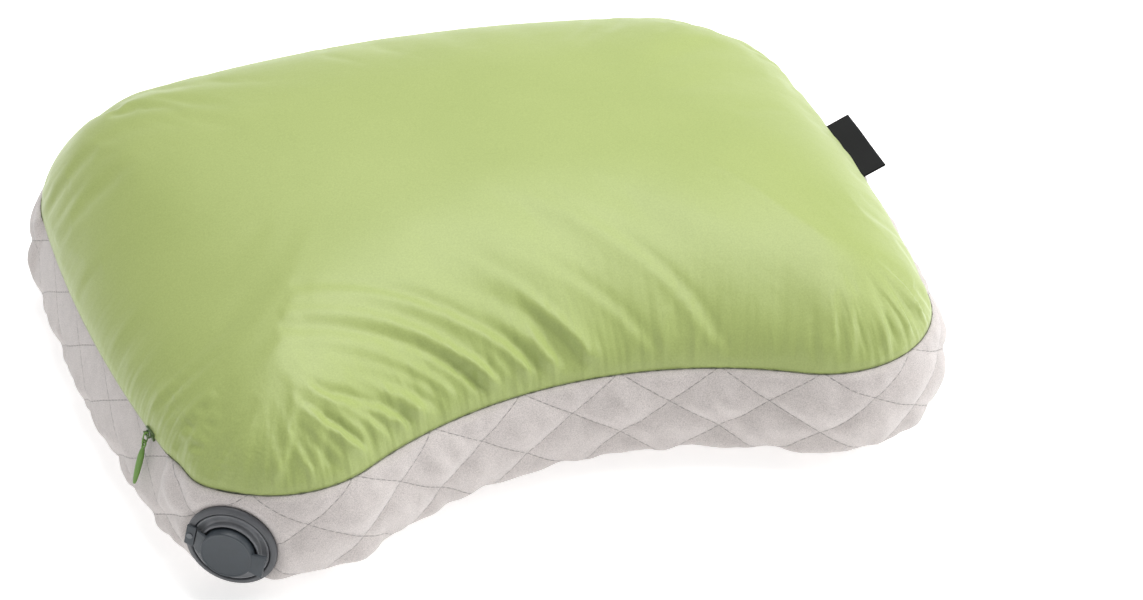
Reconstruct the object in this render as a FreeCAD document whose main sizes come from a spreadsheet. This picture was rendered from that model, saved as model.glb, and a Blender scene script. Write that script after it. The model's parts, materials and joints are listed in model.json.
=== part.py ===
"""Camp pillow: a quilted cover with a soft padded top, an inflatable core, its valve and its side zip.

Frame: +X along the width, -Y towards the neck recess, +Z up, origin on the flat underside at the
middle of the plan. Millimetres and degrees.
"""
import FreeCAD, Part
import math
import os

import Sketcher
from FreeCAD import Placement, Rotation, Vector

DOC = FreeCAD.newDocument("camp_pillow")

SIZES = {
    # plan outline of the top seam: arcs that meet in tangents, the same on both sides
    "lobe_x": 131, "lobe_y": -114, "lobe_radius": 54.5,
    "corner_x": 124, "corner_y": 80, "corner_radius": 75,
    "side_radius": 900, "back_radius": 620, "neck_radius": 200,
    # heights of the cover and how far it swells
    "base_inset": 16, "base_edge_z": 8.4, "band_low_z": 9.6, "band_top_z": 49.9,
    "band_swell": 6.5, "seam_z": 52, "seam_inset": 0.6,
    "turn_inset_share": 0.3, "turn_height_share": 0.32, "turn_cloth": 0.8,
    # where the band and the base are divided, and a reach beyond the whole cover
    "neck_half": 88, "back_from": 90, "beyond": 300,
    "crown_low_z": 54.1, "crown_run": 58, "crown_rise": 54,
    # cloth and fill
    "shell_cloth": 0.6, "band_cloth": 1.2, "band_pad": 2.5, "lining_cloth": 0.4, "base_pad": 2,
    "fill_side": 8, "fill_crown": 32, "pad_low_z": 12, "pad_top_z": 42, "fill_low_z": 62,
    "layer_gap": 0.1, "binding_width": 1.4, "binding_gap": 0.05,
    # inflatable core
    "core_film": 0.6, "core_low_z": 6, "core_weld_z": 50, "core_top_z": 71.5, "core_inset": 6,
    "weld_rim": 2, "core_hole": 9.4,
    # where the valve sits on the left lobe
    "valve_spot": -38, "valve_azimuth": -33, "valve_roll": -13, "valve_z": 26, "valve_out": 58.5,
    # valve flange, insert and port
    "flange_radius": 21, "rim_inner": 17.4, "rim_top": 2.4, "flange_floor": 0.8,
    "neck_outer": 10.4, "neck_inner": 9.2, "neck_low": -6.6, "weld_radius": 18, "weld_top": -5.8,
    "insert_radius": 17.2, "insert_low": 0.85, "insert_top": 1.6, "dish_inner": 14.2,
    "dish_outer_top": 2.5, "lip_outer": 13.6, "lip_inner": 13, "lip_top": 4.8,
    "port_outer": 8.8, "port_radius": 7.6, "port_low": -7.8,
    "hole_radius": 11.4, "hem_outer": 11.3, "hem_inner": 10.6, "hem_low": -2.4, "hem_top": -0.3,
    # one-way valve in the port
    "seat_low": -4, "seat_top": -3, "seat_rim": 6.4, "seat_hub": 1.8, "spoke_width": 1.2,
    "seat_outer": 7.55, "stud_radius": 0.8, "stud_hole": 0.85, "stud_head": 1.6,
    "stud_top": -2.4, "stud_low": -6.6, "stud_foot": -6, "flap_radius": 7, "flap_hole": 1.05,
    "flap_low": -4.55, "flap_top": -4.05,
    # cap, its plug, seal, strap and tab
    "cap_radius": 12, "cap_top": 8.5, "cap_under": 7, "skirt_inner": 10.8, "skirt_low": 3.4,
    "plug_radius": 7.3, "plug_tip": 6.6, "plug_wall": 1.2, "plug_shoulder": 1.6, "plug_low": -1.5,
    "groove_z": 0.9, "seal_wire": 0.45, "seal_outer": 7.4,
    "crease_u": -16, "crease_n": 4, "strap_width": 10.4, "strap_low": 5.1, "strap_top": 6.6,
    "ear_far": -20.4, "ear_near": -16.9, "ear_width": 11, "ear_low": 2.45, "ear_top": 3.4,
    "pin_u": -18.6, "pin_radius": 1.1, "pin_head": 1.45, "pin_top": 4.1,
    "tab_end": 17.3, "tab_width": 9.4, "tab_flare": 1.6, "tab_low": 6.9, "tab_round": 1.2,
    # side zip: its run and the slider's place are angles about the side arc's centre
    "zip_front": -10.3, "zip_back": 2.5, "slider_front": -9.3, "coil_inset": 1.2, "coil_radius": 0.7,
    "coil_apart": 1.2, "tape_inset": 1.95, "tape_cloth": 0.45, "tape_reach": 8.5, "tape_edge": 0.9,
    "stop_length": 2.4,
    "slider_long": 8, "slider_wide": 3.6, "plate_outer": 0.8, "plate_thick": 1, "plate_inner": 3.3,
    "post_thick": 0.4, "post_long": 3, "bail_out": 2.4, "bail_bar": 0.9, "bail_long": 5.2,
    "link_wire": 0.35, "link_half": 1.1, "link_reach": 4.1,
    "eye_radius": 2, "eye_hole": 1, "eye_thick": 1.2, "pull_long": 22, "pull_wide": 2.7,
    "pull_tip_wide": 1.8, "pull_thick": 1.5, "pull_lean": 18, "pull_waist": 7, "pull_round": 0.35,
    # side label
    "tag_spot": 6, "tag_long": 50, "tag_out": 13, "tag_thick": 0.8, "tag_tilt": 24,
}


def make_sheet():
    """The driving dimensions, one per row."""
    sheet = DOC.addObject("Spreadsheet::Sheet", "sizes")
    for row, (name, value) in enumerate(SIZES.items(), start=1):
        sheet.set(f"A{row}", name)
        sheet.set(f"B{row}", str(value))
        sheet.setAlias(f"B{row}", name)
    DOC.recompute()
    return sheet


SHEET = make_sheet()
PARTS = []


def size(name):
    return float(getattr(SHEET, name))


def keep(item, label, placement=None):
    """Marks a finished sub-part: its label names its file."""
    item.Label = label
    if placement is not None:
        item.Placement = placement
    PARTS.append(item)
    return item


# ---- the cover's outline and its lofts ------------------------------------------------------------
def tangent_centres():
    """Centres of the side, back and neck arcs, from the lobe and corner circles that they touch."""
    lobe = Vector(size("lobe_x"), size("lobe_y"), 0)
    corner = Vector(size("corner_x"), size("corner_y"), 0)
    reach_lobe = size("side_radius") - size("lobe_radius")
    reach_corner = size("side_radius") - size("corner_radius")
    across = corner - lobe
    gap = across.Length
    along = (reach_lobe**2 - reach_corner**2 + gap**2) / (2 * gap)
    off = math.sqrt(reach_lobe**2 - along**2)
    step = across.normalize()
    side = lobe + step * along + Vector(-step.y, step.x, 0) * off
    reach_back = size("back_radius") - size("corner_radius")
    back = Vector(0, corner.y - math.sqrt(reach_back**2 - corner.x**2), 0)
    reach_neck = size("neck_radius") + size("lobe_radius")
    neck = Vector(0, lobe.y - math.sqrt(reach_neck**2 - lobe.x**2), 0)
    return lobe, corner, side, back, neck


LOBE, CORNER, SIDE, BACK, NECK = tangent_centres()


def mirrored(point):
    return Vector(-point.x, point.y, point.z)


def outline(inset, z):
    """The closed outline at one height, moved inwards by inset (outwards where it is negative)."""
    def at(centre, towards, radius):
        return centre + (towards - centre).normalize() * radius

    up = Vector(0, 0, z)
    lobe_r = size("lobe_radius") - inset
    corner_r = size("corner_radius") - inset
    side_r = size("side_radius") - inset
    back_r = size("back_radius") - inset
    neck_r = size("neck_radius") + inset
    neck_mid = NECK + Vector(0, neck_r, 0)
    neck_end = at(NECK, LOBE, neck_r)
    lobe_mid = LOBE + Vector(math.sin(math.radians(45)), -math.cos(math.radians(45)), 0) * lobe_r
    lobe_end = SIDE + (LOBE - SIDE).normalize() * side_r
    side_mid = SIDE + ((LOBE - SIDE).normalize() + (CORNER - SIDE).normalize()).normalize() * side_r
    side_end = SIDE + (CORNER - SIDE).normalize() * side_r
    corner_mid = CORNER + Vector(1, 1, 0).normalize() * corner_r
    corner_end = BACK + (CORNER - BACK).normalize() * back_r
    back_mid = BACK + Vector(0, back_r, 0)
    stops = [
        (mirrored(neck_end), neck_mid, neck_end),
        (neck_end, lobe_mid, lobe_end),
        (lobe_end, side_mid, side_end),
        (side_end, corner_mid, corner_end),
        (corner_end, back_mid, mirrored(corner_end)),
        (mirrored(corner_end), mirrored(corner_mid), mirrored(side_end)),
        (mirrored(side_end), mirrored(side_mid), mirrored(lobe_end)),
        (mirrored(lobe_end), mirrored(lobe_mid), mirrored(neck_end)),
    ]
    return Part.Wire([Part.Arc(a + up, b + up, c + up).toShape() for a, b, c in stops])


def loft(sections):
    """A closed solid through outlines given as (inset, z)."""
    return Part.makeLoft([outline(inset, z) for inset, z in sections], True, False)


def slab(low, high):
    """A wide flat block, for trimming a layer to a band of heights."""
    beyond = size("beyond")
    return Part.makeBox(2 * beyond, 2 * beyond, high - low, Vector(-beyond, -beyond, low))


def prism(inset, low, high):
    return Part.Face(outline(inset, low)).extrude(Vector(0, 0, high - low))


def crown(inwards, below, low=None):
    """The domed top, thinner by inwards at the sides and by below at the top."""
    base = size("crown_low_z")
    sections = [] if low is None else [(size("seam_inset") + inwards, low)]
    for angle in (0, 19, 38, 58, 78):
        turn = math.radians(angle)
        inset = size("seam_inset") + inwards + (size("crown_run") - inwards) * (1 - math.cos(turn))
        sections.append((inset, base + (size("crown_rise") - below) * math.sin(turn)))
    return loft(sections)


def band(inwards, low, high):
    """The swelling side wall, moved inwards from its outer face and trimmed to a band of heights."""
    bottom, top, swell = size("band_low_z"), size("band_top_z"), size("band_swell")
    tall = top - bottom
    sections = [(inwards, bottom - 1), (inwards, bottom)]
    for share, out in ((0.22, 0.80), (0.48, 1.0), (0.75, 0.72)):
        sections.append((inwards - swell * out, bottom + tall * share))
    sections += [(inwards + size("seam_inset"), top), (inwards + size("seam_inset") + 0.4, top + 1)]
    return loft(sections).common(slab(low, high))


# ---- the valve's own frame ------------------------------------------------------------------------
def valve_placement():
    """Local X is right, Y up and Z out of the wall, at the back face of the flange."""
    spot, azimuth = math.radians(size("valve_spot")), math.radians(size("valve_azimuth"))
    centre = mirrored(LOBE) + Vector(math.sin(spot), -math.cos(spot), 0) * size("valve_out")
    centre.z = size("valve_z")
    right = Vector(math.cos(azimuth), math.sin(azimuth), 0)
    out = Vector(math.sin(azimuth), -math.cos(azimuth), 0)
    upright = Rotation(right, Vector(0, 0, 1), out, "ZXY")
    return Placement(centre, upright.multiply(Rotation(Vector(0, 0, 1), size("valve_roll"))))


VALVE = valve_placement()


def valve_clearance():
    """The room that the valve needs through the cloth layers, in the row's frame."""
    recess = Part.makeCylinder(size("flange_radius") + 0.5, 15, Vector(0, 0, -0.3))
    hole = Part.makeCylinder(size("hole_radius"), 35, Vector(0, 0, -20))
    weld = Part.makeCylinder(size("weld_radius") + 0.4, 16, Vector(0, 0, -20))
    room = recess.fuse([hole, weld])
    room.Placement = VALVE
    return room


# ---- cover ----------------------------------------------------------------------------------------
def feature(label, shape):
    """A sewn or moulded layer that no primitive fits."""
    item = DOC.addObject("Part::Feature", label)
    item.Shape = shape
    item.Placement = Placement()
    return keep(item, label)


def zip_wedge():
    """The stretch of the left side seam that the zip takes, as a wedge about the side arc's centre."""
    front, back = size("zip_front"), size("zip_back")
    reach = size("side_radius") + 30
    centre = mirrored(SIDE)
    start = 180 - back
    tips = [centre]
    for angle in (start, (start + 180 - front) / 2, 180 - front):
        turn = math.radians(angle)
        tips.append(centre + Vector(math.cos(turn), math.sin(turn), 0) * reach)
    face = Part.Face(Part.makePolygon(tips + [tips[0]]))
    return face.extrude(Vector(0, 0, 200))


def top_panel():
    cloth = size("shell_cloth")
    return feature("top_panel", crown(0, 0).cut(crown(cloth, cloth, size("crown_low_z") - 1)))


def top_fill():
    gap = size("shell_cloth") + size("layer_gap")
    outer = crown(gap, gap)
    inner = crown(size("fill_side"), size("fill_crown"))
    return feature("top_fill", outer.cut(inner).common(slab(size("fill_low_z"), 200)))


def fill_lining():
    gap, cloth = size("layer_gap"), size("lining_cloth")
    outer = crown(size("fill_side") + gap, size("fill_crown") + gap)
    inner = crown(size("fill_side") + gap + cloth, size("fill_crown") + gap + cloth)
    return feature("fill_lining", outer.cut(inner).common(slab(size("fill_low_z"), 200)))


def in_lengths(layer):
    """A layer as closed lengths: the neck, the two sides, the back and, if it spans it, the middle."""
    half, back, beyond = size("neck_half"), size("back_from"), size("beyond")
    rooms = [
        Part.makeBox(2 * half, beyond, beyond, Vector(-half, -beyond, 0)),
        Part.makeBox(beyond - half, beyond + back, beyond, Vector(half, -beyond, 0)),
        Part.makeBox(beyond - half, beyond + back, beyond, Vector(-beyond, -beyond, 0)),
        Part.makeBox(2 * half, back, beyond, Vector(-half, 0, 0)),
        Part.makeBox(2 * beyond, beyond - back, beyond, Vector(-beyond, back, 0)),
    ]
    return Part.makeCompound([solid for room in rooms for solid in layer.common(room).Solids])


def band_layer(inwards, thick, low, high):
    layer = band(inwards, low, high).cut(band(inwards + thick, low - 1, high + 1))
    return layer.cut(valve_clearance())


def side_layers():
    cloth, pad, gap = size("band_cloth"), size("band_pad"), size("layer_gap")
    low, high = size("pad_low_z"), size("pad_top_z")
    feature("side_band", in_lengths(band_layer(0, cloth, size("band_low_z"), size("band_top_z"))))
    feature("side_wadding", band_layer(cloth + gap, pad, low, high))
    feature("side_lining", band_layer(cloth + pad + 2 * gap, size("lining_cloth"), low, high))


def base_layers():
    inset, cloth, gap = size("base_inset"), size("band_cloth"), size("layer_gap")
    edge = size("base_edge_z")
    turn_inset, turn_z = inset * size("turn_inset_share"), edge * size("turn_height_share")
    outer = loft([(inset, 0), (turn_inset, turn_z), (0, edge)])
    inner = loft([(inset + size("turn_cloth"), cloth), (turn_inset + cloth, turn_z + cloth),
                  (cloth, edge), (cloth, edge + 1)])
    feature("base_panel", in_lengths(outer.cut(inner).cut(valve_clearance())))
    pad_top = cloth + gap + size("base_pad")
    feature("base_wadding", prism(inset + 2, cloth + gap, pad_top))
    feature("base_lining", prism(inset - 2, pad_top + gap, pad_top + gap + size("lining_cloth")))


def seam_bindings():
    gap, width = size("binding_gap"), size("binding_width")
    low, high = size("base_edge_z") + gap, size("band_low_z") - gap
    ring = prism(-0.2, low, high).cut(prism(width, low - 1, high + 1))
    feature("base_seam_binding", ring.cut(valve_clearance()))
    low, high = size("band_top_z") + gap, size("crown_low_z") - gap
    inset = size("seam_inset")
    ring = prism(inset, low, high).cut(prism(inset + width, low - 1, high + 1))
    feature("top_seam_binding", ring.cut(zip_wedge()))


# ---- inflatable core ------------------------------------------------------------------------------
def core_sheet(sections, way):
    """One film sheet through its sections, with the flat rim by which it is welded to the other.

    way is 1 for the upper sheet and -1 for the lower one: its hollow side faces the weld.
    """
    film, inset, weld = size("core_film"), size("core_inset"), size("core_weld_z")
    hollow = loft([(a + film, z - way * film) for a, z in sections])
    low = min(weld, weld + way * film)
    rim = prism(inset - size("weld_rim"), low, low + film)
    return loft(sections).fuse(rim).cut(hollow)


def core_sheets():
    """The air chamber: a deep lower sheet with the valve's hole, and a shallow upper sheet."""
    inset, low, weld, top = (size("core_" + word) for word in ("inset", "low_z", "weld_z", "top_z"))
    tall, rise, flat_inset, top_inset = weld - low, top - weld, 24, 42
    lower = [(flat_inset, low), (12, low + tall * 0.07), (6, low + tall * 0.24),
             (3.5, low + tall * 0.52), (4.2, low + tall * 0.78), (inset, weld)]
    upper = [(inset, weld), (inset * 2, weld + rise * 0.38), (flat_inset, weld + rise * 0.75),
             (top_inset, top)]
    hole = Part.makeCylinder(size("core_hole"), 30, Vector(0, 0, -20))
    hole.Placement = VALVE
    feature("core_lower_sheet", core_sheet(lower, -1).cut(hole))
    feature("core_upper_sheet", core_sheet(upper, 1))


# ---- turned pieces, built as bodies with sketches -------------------------------------------------
def origin_plane(body, role):
    return next(plane for plane in body.Origin.OriginFeatures if plane.Role == role)


def ring(name, inner, outer, low, high):
    """A flat ring about local Z: a sketch of two circles, padded. Sizes are cell names or sums."""
    body = DOC.addObject("PartDesign::Body", name)
    sketch = body.newObject("Sketcher::SketchObject", name + "_circles")
    sketch.AttachmentSupport = [(origin_plane(body, "XY_Plane"), "")]
    sketch.MapMode = "FlatFace"
    for index, radius in enumerate([outer] + ([inner] if inner else [])):
        sketch.addGeometry(Part.Circle(Vector(0, 0, 0), Vector(0, 0, 1), 20 - 10 * index))
        sketch.addConstraint(Sketcher.Constraint("Coincident", index, 3, -1, 1))
        number = sketch.addConstraint(Sketcher.Constraint("Radius", index, 20 - 10 * index))
        sketch.setExpression(f"Constraints[{number}]", radius)
    sketch.setExpression(".AttachmentOffset.Base.z", low)
    pad = body.newObject("PartDesign::Pad", name + "_pad")
    pad.Profile = sketch
    pad.setExpression("Length", f"({high}) - ({low})")
    body.Tip = pad
    return body


def cell(text):
    """Names of cells in a sum, pointed at the sheet."""
    words = text.replace("(", "( ").replace(")", " )").split()
    return " ".join("sizes." + word if word in SIZES else word for word in words)


def turned(name, inner, outer, low, high):
    return ring(name, cell(inner) if inner else None, cell(outer), cell(low), cell(high))


def cone(name, low_radius, high_radius, low, high):
    item = DOC.addObject("Part::Cone", name)
    item.setExpression("Radius1", cell(low_radius))
    item.setExpression("Radius2", cell(high_radius))
    item.setExpression("Height", cell(f"( {high} ) - ( {low} )"))
    item.setExpression(".Placement.Base.z", cell(low))
    return item


def block(name, low, high):
    """A box between two corners, each three cell sums."""
    item = DOC.addObject("Part::Box", name)
    for axis, side, a, b in zip("xyz", ("Length", "Width", "Height"), low, high):
        item.setExpression(f".Placement.Base.{axis}", cell(a))
        item.setExpression(side, cell(f"( {b} ) - ( {a} )"))
    return item


def joined(name, items):
    fuse = DOC.addObject("Part::MultiFuse", name)
    fuse.Shapes = items
    return fuse


def cut(name, base, tool):
    item = DOC.addObject("Part::Cut", name)
    item.Base, item.Tool = base, tool
    return item


def valve_flange():
    """The outer moulding: rim, floor, neck and the disc that is welded to the core."""
    pieces = [
        turned("flange_rim", "rim_inner", "flange_radius - 0.5", "0", "rim_top"),
        cone("flange_edge", "flange_radius", "flange_radius - 0.6", "0", "rim_top - 0.2"),
        turned("flange_floor_ring", "neck_inner", "flange_radius - 1", "0", "flange_floor"),
        turned("flange_neck", "neck_inner", "neck_outer", "neck_low", "0.2"),
        turned("flange_weld", "neck_inner", "weld_radius", "neck_low", "weld_top"),
    ]
    hollow = turned("flange_edge_hollow", None, "rim_inner", "0 - 1", "rim_top + 1")
    pieces[1] = cut("flange_edge_ring", pieces[1], hollow)
    keep(joined("valve_flange", pieces), "valve_flange", VALVE)


def valve_insert():
    """The dished inner moulding with a raised lip and the port tube."""
    dish = cone("dish_cone", "insert_radius", "dish_inner", "insert_top", "dish_outer_top")
    well = turned("dish_well", None, "lip_inner", "insert_low - 1", "lip_top + 1")
    pieces = [
        turned("insert_plate", "port_radius", "insert_radius", "insert_low", "insert_top"),
        cut("insert_dish", dish, well),
        turned("insert_lip", "lip_inner", "lip_outer", "insert_low", "lip_top"),
        turned("insert_port", "port_radius", "port_outer", "port_low", "insert_top"),
    ]
    keep(joined("valve_insert", pieces), "valve_insert", VALVE)


def one_way_valve():
    """Spoked seat, soft flap under it, and the stud that holds the flap."""
    pieces = [
        turned("seat_ring", "seat_rim", "seat_outer", "seat_low", "seat_top"),
        turned("seat_centre", "stud_hole", "seat_hub", "seat_low", "seat_top"),
    ]
    for index in range(3):
        spoke = block(f"seat_spoke_{index}", ("seat_hub - 0.2", "0 - spoke_width / 2", "seat_low"),
                      ("seat_rim + 0.2", "spoke_width / 2", "seat_top"))
        turn = DOC.addObject("Part::Compound", f"seat_spoke_turned_{index}")
        turn.Links = [spoke]
        turn.Placement = Placement(Vector(), Rotation(Vector(0, 0, 1), 120 * index + 30))
        pieces.append(turn)
    keep(joined("valve_seat", pieces), "valve_seat", VALVE)
    keep(turned("valve_flap", "flap_hole", "flap_radius", "flap_low", "flap_top"), "valve_flap", VALVE)
    stud = [
        turned("stud_shank", None, "stud_radius", "stud_low", "stud_top"),
        turned("stud_upper_head", None, "stud_head", "seat_top + 0.02", "stud_top"),
        turned("stud_lower_head", None, "stud_head", "stud_low", "stud_foot"),
    ]
    keep(joined("flap_stud", stud), "flap_stud", VALVE)


def prism_of(name, points, thick):
    """A flat outline in local X and Z, made thick along Y about its middle."""
    tips = [Vector(u, -thick / 2, n) for u, n in points]
    face = Part.Face(Part.makePolygon(tips + [tips[0]]))
    item = DOC.addObject("Part::Feature", name)
    item.Shape = face.extrude(Vector(0, thick, 0))
    return item


def valve_cap():
    """The cap: a skirted disc with a hollow tapered plug, a finger tab and a strap to the crease."""
    plug = cone("plug_taper", "plug_tip", "plug_radius", "plug_low", "plug_shoulder")
    groove = turned("plug_groove", "seal_outer - 2 * seal_wire", "plug_radius + 1",
                    "groove_z - seal_wire", "groove_z + seal_wire")
    bore = turned("plug_bore", None, "plug_tip - plug_wall", "plug_low - 1", "cap_under")
    plug = cut("plug_hollow", cut("plug_grooved", plug, groove), bore)
    flare, end = size("tab_flare"), size("tab_end")
    half, near = size("tab_width") / 2, size("cap_radius") - 2
    tips = [Vector(near, -half + flare / 2, 0), Vector(end, -half - flare / 2, 0),
            Vector(end, half + flare / 2, 0), Vector(near, half - flare / 2, 0)]
    tab_face = Part.Face(Part.makePolygon(tips + [tips[0]]))
    tab_face.translate(Vector(0, 0, size("tab_low")))
    tab_solid = tab_face.extrude(Vector(0, 0, size("cap_top") - 0.3 - size("tab_low")))
    corners = [e for e in tab_solid.Edges
               if abs(e.Length - (size("cap_top") - 0.3 - size("tab_low"))) < 1e-6
               and e.CenterOfMass.x > end - 1]
    tab = DOC.addObject("Part::Feature", "cap_tab")
    tab.Shape = tab_solid.makeFillet(size("tab_round"), corners)
    crease_u, crease_n = size("crease_u"), size("crease_n")
    low, high, rim = size("strap_low"), size("strap_top"), 0.8 - size("cap_radius")
    strap = prism_of("cap_strap", [(crease_u - 0.2, crease_n - 0.3), (crease_u + 0.35, crease_n - 0.25),
                                   (crease_u + 1.7, low), (rim, low), (rim, high + 0.3),
                                   (crease_u + 1.2, high - 0.3), (crease_u - 0.35, crease_n + 0.3)],
                     size("strap_width"))
    pieces = [
        turned("cap_disc", None, "cap_radius - 0.4", "cap_under", "cap_top"),
        turned("cap_edge", None, "cap_radius", "cap_under", "cap_top - 0.4"),
        turned("cap_skirt", "skirt_inner", "cap_radius", "skirt_low", "cap_under + 0.1"),
        turned("plug_wall_ring", "plug_tip - plug_wall", "plug_radius", "plug_shoulder",
               "cap_under + 0.1"),
        plug, tab, strap,
    ]
    keep(joined("valve_cap", pieces), "valve_cap", VALVE)
    seal = DOC.addObject("Part::Torus", "cap_seal_ring")
    seal.setExpression("Radius1", cell("seal_outer - seal_wire"))
    seal.setExpression("Radius2", cell("seal_wire - 0.02"))
    local = Placement(Vector(0, 0, size("groove_z")), Rotation())
    keep(seal, "cap_seal", VALVE.multiply(local))


def strap_ear():
    """The fixed end of the cap's strap, lying over the rim, and the pin that holds it."""
    ear = block("ear_plate", ("ear_far", "0 - ear_width / 2", "ear_low"),
                ("ear_near", "ear_width / 2", "ear_top"))
    hook = block("ear_hook", ("ear_far", "0 - ear_width / 2 + 1", "0.4"),
                 ("ear_far + 1.3", "ear_width / 2 - 1", "ear_top"))
    body = joined("ear_joined", [ear, hook])
    round_room = turned("ear_rim_room", None, "flange_radius + 0.05", "0 - 1", "ear_low")
    hole = turned("ear_pin_hole", None, "pin_radius + 0.02", "ear_low - 1", "ear_top + 1")
    spot = DOC.addObject("Part::Compound", "ear_hole_spot")
    spot.Links = [hole]
    spot.Placement = Placement(Vector(size("pin_u"), 0, 0), Rotation())
    keep(cut("strap_ear", cut("ear_over_rim", body, round_room), spot), "strap_ear", VALVE)
    pin = joined("strap_pin", [turned("pin_shank", None, "pin_radius", "ear_low + 0.02", "pin_top"),
                               turned("pin_cap", None, "pin_head", "ear_top + 0.02", "pin_top")])
    local = Placement(Vector(size("pin_u"), 0, 0), Rotation())
    keep(pin, "strap_pin", VALVE.multiply(local))


def hole_hem():
    keep(turned("valve_hole_hem", "hem_inner", "hem_outer", "hem_low", "hem_top"), "valve_hole_hem", VALVE)


# ---- side zip -------------------------------------------------------------------------------------
def zip_swept(section, front, back):
    """A section in (distance from the side arc's centre, z) swept along the left seam between two angles."""
    centre = mirrored(SIDE)
    shape = section.copy()
    shape.Placement = Placement(centre, Rotation(Vector(0, 0, 1), 180 - back))
    return Part.Face(shape).revolve(centre, Vector(0, 0, 1), back - front)


def wire_circle(inset, z, radius):
    reach = size("side_radius") - inset
    circle = Part.makeCircle(radius, Vector(reach, 0, z), Vector(0, 1, 0))
    return Part.Wire([circle])


def wire_rectangle(inset_far, inset_near, low, high):
    reach = size("side_radius")
    tips = [Vector(reach - inset_far, 0, low), Vector(reach - inset_near, 0, low),
            Vector(reach - inset_near, 0, high), Vector(reach - inset_far, 0, high)]
    return Part.makePolygon(tips + [tips[0]])


def side_zip():
    """Two tapes, two coils that face each other, and the stops at the ends."""
    front, back = size("zip_front") + 0.05, size("zip_back") - 0.05
    seam, apart = size("seam_z"), size("coil_apart")
    inset, radius = size("coil_inset"), size("coil_radius")
    far = size("tape_inset") + size("tape_cloth")
    for name, way in (("upper", 1), ("lower", -1)):
        coil = zip_swept(wire_circle(inset, seam + way * apart, radius), front, back)
        feature(f"zip_coil_{name}", coil)
        edges = sorted((seam + way * size("tape_edge"), seam + way * size("tape_reach")))
        tape = wire_rectangle(far, size("tape_inset"), edges[0], edges[1])
        feature(f"zip_tape_{name}", zip_swept(tape, front, back))
    reach = math.degrees(size("stop_length") / size("side_radius"))
    block_wire = wire_rectangle(size("tape_inset") - 0.02, 0.3, seam - 0.45, seam + 0.45)
    stops = [zip_swept(block_wire, front, front + reach),
             zip_swept(block_wire, back - reach, back)]
    feature("zip_stops", Part.makeCompound(stops))


def slider_placement():
    """Local X is out of the seam, Y along it towards the front and Z up."""
    angle = math.radians(180 - size("slider_front"))
    centre = mirrored(SIDE) + Vector(math.cos(angle), math.sin(angle), 0) * size("side_radius")
    centre.z = size("seam_z")
    return Placement(centre, Rotation(Vector(0, 0, 1), math.degrees(angle)))


SLIDER = slider_placement()


def zip_slider():
    """Outer and inner plates joined by a post between the coils, with a bail for the pull."""
    half_long, half_wide = "slider_long / 2", "slider_wide / 2"
    bar_out, bar = "bail_out", "bail_bar / 2"
    pieces = [
        block("slider_outer", ("plate_outer - plate_thick", f"0 - {half_long}", f"0 - {half_wide}"),
              ("plate_outer", half_long, half_wide)),
        block("slider_inner", ("0 - plate_inner", f"0 - {half_long}", f"0 - {half_wide}"),
              ("0 - plate_inner + 0.6", half_long, half_wide)),
        block("slider_post", ("0 - plate_inner", "0 - post_long / 2", "0 - post_thick / 2"),
              ("plate_outer", "post_long / 2", "post_thick / 2")),
        block("bail_bar_block", (f"{bar_out} - {bar}", "0 - bail_long / 2", f"0 - {bar}"),
              (f"{bar_out} + {bar}", "bail_long / 2", bar)),
    ]
    for name, way in (("front", "0"), ("back", "bail_long - bail_bar")):
        pieces.append(block(f"bail_post_{name}", ("plate_outer - 0.1", f"0 - bail_long / 2 + {way}",
                                                  f"0 - {bar}"),
                            (f"{bar_out} + {bar}", f"0 - bail_long / 2 + {way} + bail_bar", bar)))
    keep(joined("zip_slider", pieces), "zip_slider", SLIDER)


def pull_placement():
    """Local X runs down the hanging pull from the bail's bar, Y along the bar."""
    lean = Rotation(Vector(0, 1, 0), 90 - size("pull_lean"))
    bar = Placement(Vector(size("bail_out"), 0, 0), lean)
    return SLIDER.multiply(bar)


def pull_link():
    """A stadium of wire round the bail's bar, and through the pull's eye."""
    half, wire = size("link_half"), size("link_wire")
    near, far = 0.0, size("link_reach") - half
    path = Part.Wire([
        Part.LineSegment(Vector(near, 0, half), Vector(far, 0, half)).toShape(),
        Part.Arc(Vector(far, 0, half), Vector(far + half, 0, 0), Vector(far, 0, -half)).toShape(),
        Part.LineSegment(Vector(far, 0, -half), Vector(near, 0, -half)).toShape(),
        Part.Arc(Vector(near, 0, -half), Vector(near - half, 0, 0), Vector(near, 0, half)).toShape(),
    ])
    section = Part.Wire([Part.makeCircle(wire, Vector(near, 0, half), Vector(1, 0, 0))])
    item = DOC.addObject("Part::Feature", "pull_link")
    item.Shape = path.makePipeShell([section], True, False)
    keep(item, "pull_link", pull_placement())


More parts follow.
